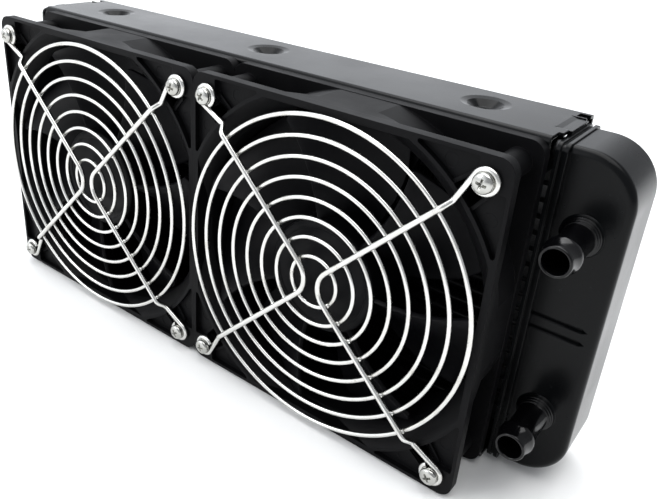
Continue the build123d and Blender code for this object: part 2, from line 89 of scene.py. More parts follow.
def linear(hex_colour: str) -> tuple[float, float, float, float]:
    """Turns an sRGB hex colour into linear RGBA.

    Args:
        hex_colour: Six hex digits, with or without a leading hash.

    Returns:
        The colour as Blender's sockets take it.
    """
    digits = hex_colour.lstrip("#")
    channels = [int(digits[start : start + 2], 16) / 255 for start in (0, 2, 4)]
    red, green, blue = (c / 12.92 if c <= 0.04045 else ((c + 0.055) / 1.055) ** 2.4 for c in channels)
    return red, green, blue, 1.0


def polar(radius: float, degrees: float) -> Flat:
    """A point in X and Z, at an angle from +X towards +Z."""
    return radius * math.cos(math.radians(degrees)), radius * math.sin(math.radians(degrees))


def clear_selection() -> None:
    """Goes back to object mode with nothing selected."""
    if bpy.context.mode != "OBJECT":
        bpy.ops.object.mode_set(mode="OBJECT")
    bpy.ops.object.select_all(action="DESELECT")


def make_active(*pieces: Piece) -> None:
    """Selects these pieces alone and makes the first one active."""
    clear_selection()
    for piece in pieces:
        piece.select_set(True)
    bpy.context.view_layer.objects.active = pieces[0]


def add_primitive(operator: Callable, name: str, **settings) -> Piece:
    """Adds one primitive at its place and applies that place to its mesh.

    Args:
        operator: The bpy.ops function that adds it.
        name: The piece's name.
        **settings: What the operator takes, such as radius and location.

    Returns:
        The new object, at the origin, unturned and unscaled.
    """
    clear_selection()
    operator(**settings)
    piece = bpy.context.active_object
    piece.name = name
    piece.data.name = name
    bpy.ops.object.transform_apply(location=True, rotation=True, scale=True)
    return piece


def add_drum(name: str, sides: int, radius: float, front: float, back: float, centre: Vector) -> Piece:
    """Adds a solid drum along Y, between two depths behind a centre."""
    return add_primitive(
        bpy.ops.mesh.primitive_cylinder_add,
        name,
        vertices=sides,
        radius=radius,
        depth=back - front,
        location=centre + Vector((0, (front + back) / 2, 0)),
        rotation=(math.pi / 2, 0, 0),
    )


def edit(piece: Piece) -> None:
    """Opens a piece in edit mode."""
    make_active(piece)
    bpy.ops.object.mode_set(mode="EDIT")


def leave_edit() -> None:
    """Goes back to object mode with the piece still selected."""
    bpy.ops.object.mode_set(mode="OBJECT")


def choose(piece: Piece, kind: Pick, test: Test) -> int:
    """Selects elements of the piece in edit mode by their place and normal.

    Args:
        piece: The piece in edit mode.
        kind: What is selected.
        test: Takes the element's middle and its normal, and says whether it is selected.

    Returns:
        How many were selected.
    """
    bpy.ops.mesh.select_mode(type=kind.value)
    bpy.ops.mesh.select_all(action="DESELECT")
    mesh = bmesh.from_edit_mesh(piece.data)
    count = 0
    if kind is Pick.VERTICES:
        for vertex in mesh.verts:
            chosen = test(vertex.co, vertex.normal)
            vertex.select_set(chosen)
            count += chosen
    elif kind is Pick.EDGES:
        for edge in mesh.edges:
            ends = [v.co for v in edge.verts]
            chosen = test((ends[0] + ends[1]) / 2, (ends[1] - ends[0]).normalized())
            edge.select_set(chosen)
            count += chosen
    else:
        for face in mesh.faces:
            chosen = test(face.calc_center_median(), face.normal)
            face.select_set(chosen)
            count += chosen
    mesh.select_flush_mode()
    bmesh.update_edit_mesh(piece.data)
    return count


def extrude(offset: Vector | Point = (0.0, 0.0, 0.0)) -> None:
    """Extrudes what is selected and moves it."""
    bpy.ops.mesh.extrude_region_move(TRANSFORM_OT_translate={"value": tuple(offset)})


def draw_line(name: str, points: list[Vector]) -> Piece:
    """Draws a line of edges by extruding one point to the next, and stays in edit mode.

    Args:
        name: The piece's name.
        points: The line's points in order.

    Returns:
        The new piece, with only its edges.
    """
    piece = add_primitive(bpy.ops.mesh.primitive_plane_add, name, size=MM, location=points[0])
    edit(piece)
    bpy.ops.mesh.select_mode(type="VERT")
    bpy.ops.mesh.select_all(action="SELECT")
    bpy.ops.mesh.merge(type="CENTER")
    for before, after in zip(points, points[1:]):
        extrude(after - before)
    return piece


def modify(piece: Piece, kind: str, **settings) -> None:
    """Adds a modifier with its settings and applies it."""
    make_active(piece)
    modifier = piece.modifiers.new(kind.title(), kind)
    for name, value in settings.items():
        setattr(modifier, name, value)
    bpy.ops.object.modifier_apply(modifier=modifier.name)


def soften(piece: Piece, width: float, segments: int) -> None:
    """Rounds every edge that turns by more than 50 degrees."""
    modify(piece, "BEVEL", width=width, segments=segments, limit_method="ANGLE", angle_limit=math.radians(50))


def tidy_mesh(piece: Piece, smooth_angle: float = 35.0, merge: float = 0.002 * MM) -> None:
    """Merges doubles, turns the faces outwards and smooths the shading across shallow edges."""
    edit(piece)
    bpy.ops.mesh.select_all(action="SELECT")
    bpy.ops.mesh.remove_doubles(threshold=merge)
    bpy.ops.mesh.normals_make_consistent(inside=False)
    leave_edit()
    bpy.ops.object.shade_smooth_by_angle(angle=math.radians(smooth_angle))


def copy_piece(piece: Piece, name: str, place: Matrix) -> Piece:
    """Copies a piece with a mesh of its own and moves that mesh."""
    twin = piece.copy()
    twin.data = piece.data.copy()
    twin.name = name
    twin.data.name = name
    twin.data.transform(place)
    bpy.context.scene.collection.objects.link(twin)
    return twin


def join(name: str, pieces: list[Piece]) -> Piece:
    """Joins pieces into the first one and names it."""
    make_active(*pieces)
    if len(pieces) > 1:
        bpy.ops.object.join()
    pieces[0].name = name
    pieces[0].data.name = name
    return pieces[0]


def turn_y(degrees: float, centre: Vector) -> Matrix:
    """A turn about an axis along Y, from +X towards +Z, through a centre."""
    turn = Matrix.Rotation(-math.radians(degrees), 4, "Y")
    return Matrix.Translation(centre) @ turn @ Matrix.Translation(-centre)


def wire(name: str, points: list[Vector], radius: float, sides: int = 4) -> Piece:
    """Draws a line and gives it a round section.

    Args:
        name: The piece's name.
        points: The wire's centre line.
        radius: The wire's radius.
        sides: Half the number of the section's faces, less two.

    Returns:
        The wire as a closed mesh.
    """
    piece = draw_line(name, points)
    leave_edit()
    bpy.ops.object.convert(target="CURVE")
    piece = bpy.context.active_object
    piece.data.bevel_depth = radius
    piece.data.bevel_resolution = sides
    piece.data.use_fill_caps = True
    bpy.ops.object.convert(target="MESH")
    piece = bpy.context.active_object
    piece.name = name
    tidy_mesh(piece, 50)
    return piece


def turned(name: str, profile: list[Flat], centre: Vector, steps: int = 96) -> Piece:
    """Spins a profile about an axis along Y.

    Args:
        name: The piece's name.
        profile: Points as (radius, depth), with depth along +Y from the centre.
        centre: A point on the axis.
        steps: Facets round the axis.

    Returns:
        The turned piece.
    """
    points = [centre + Vector((radius, depth, 0)) for radius, depth in profile]
    piece = draw_line(name, points)
    bpy.ops.mesh.select_all(action="SELECT")
    bpy.ops.mesh.spin(steps=steps, angle=2 * math.pi, center=centre, axis=(0, 1, 0))
    leave_edit()
    tidy_mesh(piece)
    return piece


def arc(middle: Flat, radius: float, start: float, end: float, steps: int) -> list[Flat]:
    """Points on an arc between two angles, in the plane of a profile."""
    angles = [start + (end - start) * step / steps for step in range(steps + 1)]
    return [(middle[0] + polar(radius, a)[0], middle[1] + polar(radius, a)[1]) for a in angles]


def rounded_route(points: list[Vector], radii: list[float], steps: int = 8) -> list[Vector]:
    """Rounds a route's inner corners with arcs tangent to its runs.

    Args:
        points: The route's corners, with its two ends.
        radii: One radius for each inner corner.
        steps: Points along each arc.

    Returns:
        The rounded route.
    """
    route = [points[0]]
    for before, corner, after, radius in zip(points, points[1:], points[2:], radii):
        back = (before - corner).normalized()
        ahead = (after - corner).normalized()
        half = back.angle(ahead) / 2
        middle = corner + (back + ahead).normalized() * radius / math.sin(half)
        start = corner + back * radius / math.tan(half)
        end = corner + ahead * radius / math.tan(half)
        for step in range(steps + 1):
            route.append(middle + (start - middle).slerp(end - middle, step / steps) * radius)
    return [*route, points[-1]]


# ------------------------------------------------------------------------------------------- finishes


def add_node(
    tree: Tree,
    kind: str,
    settings: dict | None = None,
    values: dict | None = None,
    links: dict | None = None,
) -> bpy.types.Node:
    """Adds one shader node.

    Args:
        tree: The material's node tree.
        kind: The node's type name, without its ShaderNode prefix.
        settings: Attributes of the node.
        values: Constants for its input sockets, by name or index.
        links: Output sockets that feed its input sockets, by name or index.

    Returns:
        The new node.
    """
    node = tree.nodes.new("ShaderNode" + kind)
    for name, value in (settings or {}).items():
        setattr(node, name, value)
    for socket, value in (values or {}).items():
        node.inputs[socket].default_value = value
    for socket, output in (links or {}).items():
        tree.links.new(output, node.inputs[socket])
    return node


def blank_material(name: str) -> tuple[Material, Tree]:
    """A new material with an empty node tree."""
    material = bpy.data.materials.new(name)
    material.use_nodes = True
    material.node_tree.nodes.clear()
    return material, material.node_tree


def object_place(tree: Tree) -> Socket:
    """The point on the surface in the object's own coordinates."""
    return add_node(tree, "TexCoord").outputs["Object"]


def noise(
    tree: Tree,
    place: Socket,
    size: float,
    detail: float,
    distortion: float = 0.0,
) -> Socket:
    """A noise pattern whose lumps have a size in metres."""
    values = {"Scale": 1 / size, "Detail": detail, "Distortion": distortion}
    return add_node(tree, "TexNoise", values=values, links={"Vector": place}).outputs["Fac"]


def patches(
    tree: Tree, pattern: Socket, start: float, end: float, most: float
) -> Socket:
    """Keeps only a pattern's peaks.

    Args:
        tree: The material's node tree.
        pattern: The pattern.
        start: The pattern's value where the patches begin.
        end: Its value from which they are at their fullest.
        most: The share that they reach there.

    Returns:
        The share of the patches, from 0 to most.
    """
    ramp = add_node(tree, "ValToRGB", links={"Fac": pattern})
    for element, position, level in zip(ramp.color_ramp.elements, (start, end), (0.0, most)):
        element.position = position
        element.color = (level, level, level, 1.0)
    return ramp.outputs["Color"]


def blend(
    tree: Tree, first: str, second: str, share: Socket
) -> Socket:
    """Blends two hex colours by a share."""
    values = {"Color1": linear(first), "Color2": linear(second)}
    return add_node(tree, "MixRGB", values=values, links={"Fac": share}).outputs["Color"]


def spread(
    tree: Tree, pattern: Socket, low: float, high: float
) -> Socket:
    """Spreads the middle of a noise pattern between two values."""
    values = {"From Min": 0.3, "From Max": 0.7, "To Min": low, "To Max": high}
    return add_node(tree, "MapRange", values=values, links={"Value": pattern}).outputs["Result"]


def relief(
    tree: Tree,
    pattern: Socket,
    strength: float,
    height: float,
    edge_radius: float = 0.0,
) -> Socket:
    """Shades a pattern as relief, over edges rounded to a radius.

    Args:
        tree: The material's node tree.
        pattern: The pattern.
        strength: How strongly it shows.
        height: The relief's height.
        edge_radius: The radius at edges, or nothing for edges as they are.

    Returns:
        The shaded normal.
    """
    links = {"Height": pattern}
    if edge_radius:
        links["Normal"] = add_node(tree, "Bevel", {"samples": 6}, {"Radius": edge_radius}).outputs["Normal"]
    values = {"Strength": strength, "Distance": height}
    return add_node(tree, "Bump", values=values, links=links).outputs["Normal"]


def surface(tree: Tree, values: dict, links: dict) -> None:
    """Closes a material with one surface shader, from its constants and its patterns."""
    shader = add_node(tree, "BsdfPrincipled", values=values, links=links)
    add_node(tree, "OutputMaterial", links={"Surface": shader.outputs[0]})


@dataclass(frozen=True)
class PaintedAluminium:
    """Baked black paint on aluminium sheet: a soft gloss with a faint orange peel and a few dust specks."""

    name: str = "painted_aluminium"
    colour: str = "#060708"
    dust: str = "#303236"
    roughness: float = 0.21
    gloss: float = 0.12
    speck: float = 0.9 * MM
    cloud: float = 35 * MM
    peel_size: float = 2.2 * MM
    peel_height: float = 0.012 * MM
    edge_radius: float = 0.35 * MM

    def material(self) -> Material:
        """Builds the paint."""
        material, tree = blank_material(self.name)
        place = object_place(tree)
        peel = noise(tree, place, self.peel_size, 2.0)
        cloud = noise(tree, place, self.cloud, 4.0)
        specks = patches(tree, noise(tree, place, self.speck, 1.0), 0.73, 0.78, 0.35)
        links = {
            "Base Color": blend(tree, self.colour, self.dust, specks),
            "Roughness": spread(tree, cloud, self.roughness - 0.05, self.roughness + 0.07),
            "Normal": relief(tree, peel, 0.35, self.peel_height, self.edge_radius),
        }
        surface(tree, {"IOR": 1.5, "Specular IOR Level": self.gloss}, links)
        return material


@dataclass(frozen=True)
class MouldedPlastic:
    """Glass-filled black plastic from a spark-eroded mould: a fine even grain and a dry, satin sheen."""

    name: str = "moulded_plastic"
    colour: str = "#060607"
    pale: str = "#0A0A0C"
    roughness: float = 0.48
    gloss: float = 0.08
    flow: float = 18 * MM
    # The real grain is about 0.05 mm, too fine to show, so it is drawn four times as coarse.
    grain: float = 0.2 * MM
    grain_height: float = 0.01 * MM
    edge_radius: float = 0.3 * MM

    def material(self) -> Material:
        """Builds the plastic."""
        material, tree = blank_material(self.name)
        place = object_place(tree)
        grain = noise(tree, place, self.grain, 3.0)
        flow = noise(tree, place, self.flow, 5.0, 0.6)
        links = {
            "Base Color": blend(tree, self.colour, self.pale, flow),
            "Roughness": spread(tree, flow, self.roughness - 0.06, self.roughness + 0.08),
            "Normal": relief(tree, grain, 0.5, self.grain_height, self.edge_radius),
        }
        surface(tree, {"IOR": 1.52, "Specular IOR Level": self.gloss}, links)
        return material


@dataclass(frozen=True)
class PlatedWire:
    """Drawn steel wire with bright nickel-chrome plating: mirror-like, with faint clouding and draw marks."""

    name: str = "bright_plating"
    colour: str = "#D6D6D3"
    stain: str = "#B4B1A9"
    roughness: float = 0.2
    cloud: float = 6 * MM
    mark: float = 0.6 * MM
    mark_height: float = 0.004 * MM

    def material(self) -> Material:
        """Builds the plating."""
        material, tree = blank_material(self.name)
        place = object_place(tree)
        cloud = noise(tree, place, self.cloud, 4.0)
        mark = noise(tree, place, self.mark, 3.0)
        links = {
            "Base Color": blend(tree, self.colour, self.stain, patches(tree, cloud, 0.5, 0.75, 0.6)),
            "Roughness": spread(tree, cloud, self.roughness - 0.04, self.roughness + 0.09),
            "Normal": relief(tree, mark, 0.08, self.mark_height),
        }
        surface(tree, {"Metallic": 1.0}, links)
        return material


@dataclass(frozen=True)
class WorkedMetal:
    """Bare metal with turning, rolling or stacking lines across one axis."""

    name: str
    colour: str
    dark: str
    roughness: float
    line: float
    along: Point
    line_height: float = 0.02 * MM

    def material(self) -> Material:
        """Builds the metal."""
        material, tree = blank_material(self.name)
        place = object_place(tree)
        stretch = add_node(tree, "Mapping", values={"Scale": self.along}, links={"Vector": place})
        lines = noise(tree, stretch.outputs["Vector"], self.line, 3.0)
        links = {
            "Base Color": blend(tree, self.dark, self.colour, lines),
            "Normal": relief(tree, lines, 0.4, self.line_height),
        }
        surface(tree, {"Metallic": 1.0, "Roughness": self.roughness}, links)
        return material


@dataclass(frozen=True)
class CorePaint:
    """A thin satin black sprayed over the core, patchy where it went between the fins, and its louvres."""

    name: str = "core_paint"
    colour: str = "#060607"
    bare: str = "#141517"
    roughness: float = 0.42
    gloss: float = 0.1
    patch: float = 9 * MM
    louvre: float = 1.2 * MM
    louvre_height: float = 0.15 * MM

    def material(self) -> Material:
        """Builds the paint."""
        material, tree = blank_material(self.name)
        place = object_place(tree)
        bare = patches(tree, noise(tree, place, self.patch, 5.0), 0.45, 0.8, 0.7)
        slats = add_node(
            tree,
            "TexWave",
            {"bands_direction": "Y", "wave_profile": "SAW"},
            {"Scale": 0.314 / self.louvre, "Distortion": 0.2},
            {"Vector": place},
        )
        links = {
            "Base Color": blend(tree, self.colour, self.bare, bare),
            "Normal": relief(tree, slats.outputs["Fac"], 0.6, self.louvre_height),
        }
        surface(tree, {"IOR": 1.5, "Roughness": self.roughness, "Specular IOR Level": self.gloss}, links)
        return material


@dataclass(frozen=True)
class PaleFloor:
    """A seamless pale sheet with a fine tooth."""

    name: str = "pale_floor"
    colour: str = "#F4F4F3"
    roughness: float = 0.9
    gloss: float = 0.1
    tooth: float = 2.5 * MM

    def material(self) -> Material:
        """Builds the sheet."""
        material, tree = blank_material(self.name)
        tooth = noise(tree, object_place(tree), self.tooth, 4.0)
        bump = add_node(tree, "Bump", values={"Strength": 0.04}, links={"Height": tooth})
        pale = linear(self.colour)
        values = {"Base Color": pale, "Roughness": self.roughness, "Specular IOR Level": self.gloss}
        surface(tree, values, {"Normal": bump.outputs["Normal"]})
        return material


@dataclass
class FinishShelf:
    """The finishes by the record's slots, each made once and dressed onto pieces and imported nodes."""

    made: dict[str, Material] = field(default_factory=dict)

    def __post_init__(self) -> None:
        """Makes every finish."""
        turned_lines = (1.0, 12.0, 1.0)
        stacked_lines = (1.0, 20.0, 1.0)
        rolled_lines = (1.0, 1.0, 14.0)
        steel = WorkedMetal("ground_steel", "#C8C8CA", "#8E8E92", 0.28, 2 * MM, turned_lines)
        laminated = WorkedMetal("stacked_steel", "#8F9096", "#4C4D52", 0.45, 3.5 * MM, stacked_lines)
        copper = WorkedMetal("enamelled_copper", "#C0672F", "#7C3A17", 0.3, 2 * MM, turned_lines)
        sheet = WorkedMetal("rolled_aluminium", "#C4C4C6", "#9A9A9E", 0.4, 8 * MM, rolled_lines)
        barb = PaintedAluminium("barb_paint", "#040405", roughness=0.14, gloss=0.25, peel_height=0.006 * MM)
        finishes = {
            "painted_aluminium": PaintedAluminium(),
            "painted_core": CorePaint(),
            "painted_barb": barb,
            "baffle_aluminium": sheet,
            "frame_plastic": MouldedPlastic(),
            "impeller_plastic": MouldedPlastic("impeller_plastic", "#050507", "#09090B", roughness=0.42),
            "guard_wire": PlatedWire(),
            "screw_plating": PlatedWire("screw_plating", "#B4B4B0", "#8F8C84", roughness=0.16, mark=0.3 * MM),
            "motor_steel": steel,
            "laminations": laminated,
            "windings": copper,
            "magnet": MouldedPlastic("bonded_ferrite", "#2B2727", "#3A3434", roughness=0.6),
            "board": MouldedPlastic("solder_mask", "#1C4A22", "#27602E", roughness=0.3, gloss=0.6),
        }
        self.made = {slot: finish.material() for slot, finish in finishes.items()}

    def dress(self, piece: Piece, slot: str) -> None:
        """Gives a new piece the finish of a slot."""
        piece.data.materials.clear()
        piece.data.materials.append(self.made[slot])

    def dress_nodes(self) -> None:
        """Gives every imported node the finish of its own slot."""
        slots = {part["node"]: part["material_slot"] for part in frame["record"]["subparts"]}
        for name, node in frame["nodes"].items():
            for place in node.material_slots:
                place.material = self.made[slots[name]]


# --------------------------------------------------------------------------------------------- pieces


@dataclass
class FanPlace:
    """Where one fan stands: the middle of its front face, on the axis of its impeller."""

    side: Side

    @property
    def centre(self) -> Vector:
        """The point where the axis meets the frame's front face."""
        joint = next(j for j in frame["joints"] if j["name"] == f"{self.side.value}_fan_spin")
        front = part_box(self.node("fan_frame"))[0].y
        return Vector((joint["pos_m"][0], front, joint["pos_m"][2]))

    @property
    def rotor(self) -> str:
        """The body that turns."""
        return f"{self.side.value}_rotor"

    def node(self, part: str) -> str:
        """The name of this fan's node for a part."""
        return f"{part}_{self.side.value}"


@dataclass
class Impeller:
    """The moulded wheel: a plain hub cup and seven swept blades with rounded tips."""

    place: FanPlace
    shelf: FinishShelf
    blades: int = 7
    hub_radius: float = 21.0 * MM
    hub_front: float = 1.5 * MM
    hub_back: float = 19.5 * MM
    hub_edge: float = 1.4 * MM
    hub_wall: float = 1.6 * MM
    boss_radius: float = 4.0 * MM
    boss_end: float = 7.4 * MM
    # The boss starts inside the cup's wall, at this share of its thickness.
    boss_bite: float = 0.8
    boss_edge: float = 0.3 * MM
    root_radius: float = 20.2 * MM
    tip_radius: float = 56.2 * MM
    blade_front: float = 3.0 * MM
    blade_depth: float = 16.0 * MM
    blade_wall: float = 1.6 * MM
    blade_edge: float = 0.45 * MM
    depth_power: float = 1.15
    sweep: float = 42.0
    sweep_steps: int = 22
    rows: int = 9
    lead: float = 10.8
    lead_power: float = 1.7
    lead_back: float = 1.2
    lead_start: float = 20.0 * MM
    lead_reach: float = 38.5 * MM
    tip_rounding: float = 3.2 * MM
    face_rim: float = 1.2 * MM
    face_step: float = 0.35 * MM
    face_sink: float = 0.3 * MM
    rest_turn: dict[Side, float] = field(default_factory=lambda: {Side.LEFT: 9.3, Side.RIGHT: 0.0})

    def lead_angle(self, radius: float) -> float:
        """The angle of a blade's front edge, which leans further round towards the tip."""
        reach = (radius - self.lead_start) / self.lead_reach
        return self.lead * reach**self.lead_power - self.lead_back

    def depth(self, along: float) -> float:
        """How deep a blade is at a share of its sweep."""
        return self.blade_front + self.blade_depth * math.sin(along * math.pi / 2) ** self.depth_power

    def blade(self) -> Piece:
        """Draws the root line, draws it outwards row by row, rounds the tip and gives it its wall."""
        centre = self.place.centre
        span = self.tip_radius - self.root_radius
        radii = [self.root_radius + span * row / self.rows for row in range(self.rows + 1)]
        root = []
        for step in range(self.sweep_steps + 1):
            along = step / self.sweep_steps
            x, z = polar(radii[0], self.lead_angle(radii[0]) - self.sweep * along)
            root.append(centre + Vector((x, self.depth(along), z)))
        piece = draw_line("blade", root)
        bpy.ops.mesh.select_mode(type="EDGE")
        bpy.ops.mesh.select_all(action="SELECT")
        for inner, outer in zip(radii, radii[1:]):
            extrude()
            grow = outer / inner
            bpy.ops.transform.resize(value=(grow, 1, grow), center_override=centre)
            turn = math.radians(self.lead_angle(outer) - self.lead_angle(inner))
            bpy.ops.transform.rotate(value=turn, orient_axis="Y", center_override=centre)
        self.round_corner(0.0, -1.0)
        self.round_corner(1.0, 1.0)
        leave_edit()
        tidy_mesh(piece)
        modify(piece, "SOLIDIFY", thickness=self.blade_wall, offset=0.0, use_even_offset=True)
        soften(piece, self.blade_edge, 3)
        tidy_mesh(piece, 40)
        return piece

    def round_corner(self, along: float, outwards: float) -> None:
        """Rounds one corner of the tip of the blade in edit mode with three slanting cuts.

        Args:
            along: Which corner, 0 at the front edge and 1 at the rear edge.
            outwards: -1 where the sweep starts and 1 where it ends.
        """
        centre = self.place.centre
        angle = self.lead_angle(self.tip_radius) - self.sweep * along
        x, z = polar(1.0, angle)
        radial = Vector((x, 0, z))
        around = Vector((z, 0, -x)) * outwards
        corner = centre + radial * self.tip_radius + Vector((0, self.depth(along), 0))
        middle = corner - (radial + around) * self.tip_rounding
        for degrees in (22.5, 45.0, 67.5):
            share, rest = polar(1.0, degrees)
            normal = radial * share + around * rest
            bpy.ops.mesh.select_all(action="SELECT")
            bpy.ops.mesh.bisect(
                plane_co=middle + normal * self.tip_rounding,
                plane_no=normal,
                clear_outer=True,
            )

    def hub(self) -> list[Piece]:
        """A cup with a rounded front edge, and the boss that grips the shaft."""
        centre = self.place.centre
        cup = add_drum("hub", 128, self.hub_radius, self.hub_front, self.hub_back, centre)
        edit(cup)
        back = centre.y + self.hub_back - 0.1 * MM
        front = centre.y + self.hub_front
        choose(cup, Pick.FACES, lambda at, normal: normal.y > 0.9 and at.y > back)
        bpy.ops.mesh.delete(type="FACE")
        choose(cup, Pick.EDGES, lambda at, way: abs(at.y - front) < 0.01 * MM)
        bpy.ops.mesh.bevel(offset=self.hub_edge, segments=7, affect="EDGES")
        choose(cup, Pick.FACES, lambda at, normal: normal.y < -0.99 and at.y < front + 0.01 * MM)
        bpy.ops.mesh.inset(thickness=self.face_rim)
        bpy.ops.mesh.inset(thickness=self.face_step)
        bpy.ops.transform.translate(value=(0, self.face_sink, 0))
        leave_edit()
        modify(cup, "SOLIDIFY", thickness=self.hub_wall, offset=-1.0, use_even_offset=True)
        tidy_mesh(cup, 30)
        boss_start = self.hub_front + self.hub_wall * self.boss_bite
        boss = add_drum("boss", 48, self.boss_radius, boss_start, self.boss_end, centre)
        edit(boss)
        choose(boss, Pick.EDGES, lambda at, way: abs(way.y) < 0.1)
        bpy.ops.mesh.bevel(offset=self.boss_edge, segments=2, affect="EDGES")
        tidy_mesh(boss, 30)
        return [cup, boss]

    def build(self) -> None:
        """Makes one blade, copies it round the hub, joins all and dresses the wheel."""
        centre = self.place.centre
        first = self.blade()
        rest = self.rest_turn[self.place.side]
        parts = self.hub()
        for number in range(self.blades):
            turn = turn_y(rest + number * 360 / self.blades, centre)
            parts.append(copy_piece(first, f"blade_{number}", turn))
        bpy.data.objects.remove(first)
        wheel = join(f"{self.place.side.value}_impeller", parts)
        self.shelf.dress(wheel, "impeller_plastic")
        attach(wheel, self.place.rotor)
        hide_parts(self.place.node("impeller"))


@dataclass
class WireGuard:
    """A finger guard: eight rings welded behind two bent spoke wires that end in open eyelets."""

    place: FanPlace
    shelf: FinishShelf
    rings: int = 8
    inner_ring: float = 9.3 * MM
    outer_ring: float = 57.5 * MM
    ring_wire: float = 0.8 * MM
    spoke_wire: float = 1.0 * MM
    ring_depth: float = -2.3 * MM
    weld_sink: float = 0.2 * MM
    hole_pitch: float = 105.0 * MM
    eyelet: float = 3.45 * MM
    jog_start: float = 59.6 * MM
    jog_end: float = 62.6 * MM
    apex_corner: float = 0.7 * MM
    apex_bend: float = 8.5 * MM
    eyelet_sweep: float = 300.0
    ring_joint: float = 247.0
    joint_spacing: float = 23.0
    joint_swell: float = 1.12
    weld_radius: float = 1.0 * MM
    weld_offset: float = 1.2 * MM
    weld_lean: float = 0.2
    weld_shape: Point = (0.95, 0.55, 0.95)

    @property
    def spoke_depth(self) -> float:
        """The depth of the spoke wires' middle where they cross the rings."""
        return self.ring_depth - self.ring_wire - self.spoke_wire + self.weld_sink

    @property
    def radii(self) -> list[float]:
        """The radii of the rings."""
        step = (self.outer_ring - self.inner_ring) / (self.rings - 1)
        return [self.inner_ring + step * number for number in range(self.rings)]

    def ring(self, radius: float, number: int) -> Piece:
        """One ring, slightly upset where its ends are butt-welded."""
        centre = self.place.centre + Vector((0, self.ring_depth, 0))
        steps = 96 if radius < 30 * MM else 160
        piece = add_primitive(
            bpy.ops.mesh.primitive_torus_add,
            f"ring_{number}",
            major_radius=radius,
            minor_radius=self.ring_wire,
            major_segments=steps,
            minor_segments=14,
            location=centre,
            rotation=(math.pi / 2, 0, 0),
        )
        x, z = polar(radius, self.ring_joint + self.joint_spacing * (number % 3))
        joint = centre + Vector((x, 0, z))
        edit(piece)
        reach = 1.15 * self.ring_wire
        choose(piece, Pick.VERTICES, lambda at, normal: (at - joint).length < reach)
        bpy.ops.transform.resize(value=[self.joint_swell] * 3, center_override=joint)
        leave_edit()
        tidy_mesh(piece, 60)
        return piece

    def weld(self, radius: float, degrees: float) -> Piece:
        """The small flattened nugget where a spoke crosses a ring."""
        x, z = polar(radius, degrees)
        between = self.ring_depth - self.ring_wire + 0.1 * MM
        at = self.place.centre + Vector((x, between, z))
        piece = add_primitive(
            bpy.ops.mesh.primitive_uv_sphere_add,
            "weld",
            segments=12,
            ring_count=8,
            radius=self.weld_radius,
            location=at,
        )
        edit(piece)
        bpy.ops.mesh.select_all(action="SELECT")
        bpy.ops.transform.resize(value=self.weld_shape, center_override=at)
        leave_edit()
        bpy.ops.object.shade_smooth_by_angle(angle=math.radians(60))
        return piece

    def spoke_route(self) -> list[Vector]:
        """One spoke wire's line: eyelet, jog up to the rings, bend beside the axis, and back again."""
        centre = self.place.centre
        corner = self.hole_pitch / math.sqrt(2)
        turn = math.degrees(math.asin(self.eyelet / (corner - self.jog_end)))
        low = -self.spoke_wire

        def loop(angle: float) -> list[Vector]:
            """The eyelet's arc at a corner, starting where the arm touches it."""
            middle = polar(corner, angle)
            points = []
            for step in range(31):
                x, z = polar(self.eyelet, angle + 90 + turn - self.eyelet_sweep * step / 30)
                points.append(centre + Vector((middle[0] + x, low, middle[1] + z)))
            return points

        def arm(radius: float, depth: float, angle: float) -> Vector:
            """A point on the arm's diagonal."""
            x, z = polar(radius, angle)
            return centre + Vector((x, depth, z))

        upper, lower = loop(135), loop(225)
        corners = [
            upper[0],
            arm(self.jog_end, low, 135),
            arm(self.jog_start, self.spoke_depth, 135),
            centre + Vector((self.apex_corner, self.spoke_depth, 0)),
            arm(self.jog_start, self.spoke_depth, 225),
            arm(self.jog_end, low, 225),
            lower[0],
        ]
        run = rounded_route(corners, [2.0 * MM, 2.5 * MM, self.apex_bend, 2.5 * MM, 2.0 * MM])
        return [*reversed(upper[1:]), *run, *lower[1:]]

    def build(self) -> None:
        """Makes the rings with their welds and the two spokes, and dresses both."""
        rings = [self.ring(radius, number) for number, radius in enumerate(self.radii)]
        for radius in self.radii:
            lean = self.weld_lean * math.degrees(math.asin(self.weld_offset / radius))
            for degrees in (45 - lean, 135 + lean, 225 - lean, 315 + lean):
                rings.append(self.weld(radius, degrees))
        side = self.place.side.value
        disc = join(f"{side}_guard_rings", rings)
        self.shelf.dress(disc, "guard_wire")
        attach(disc, "radiator")
        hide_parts(self.place.node("guard_rings"))
        first = wire("spoke", self.spoke_route(), self.spoke_wire, 4)
        second = copy_piece(first, "spoke_2", turn_y(180, self.place.centre))
        spokes = join(f"{side}_guard_spokes", [first, second])
        self.shelf.dress(spokes, "guard_wire")
        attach(spokes, "radiator")
        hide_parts(self.place.node("guard_spokes"))


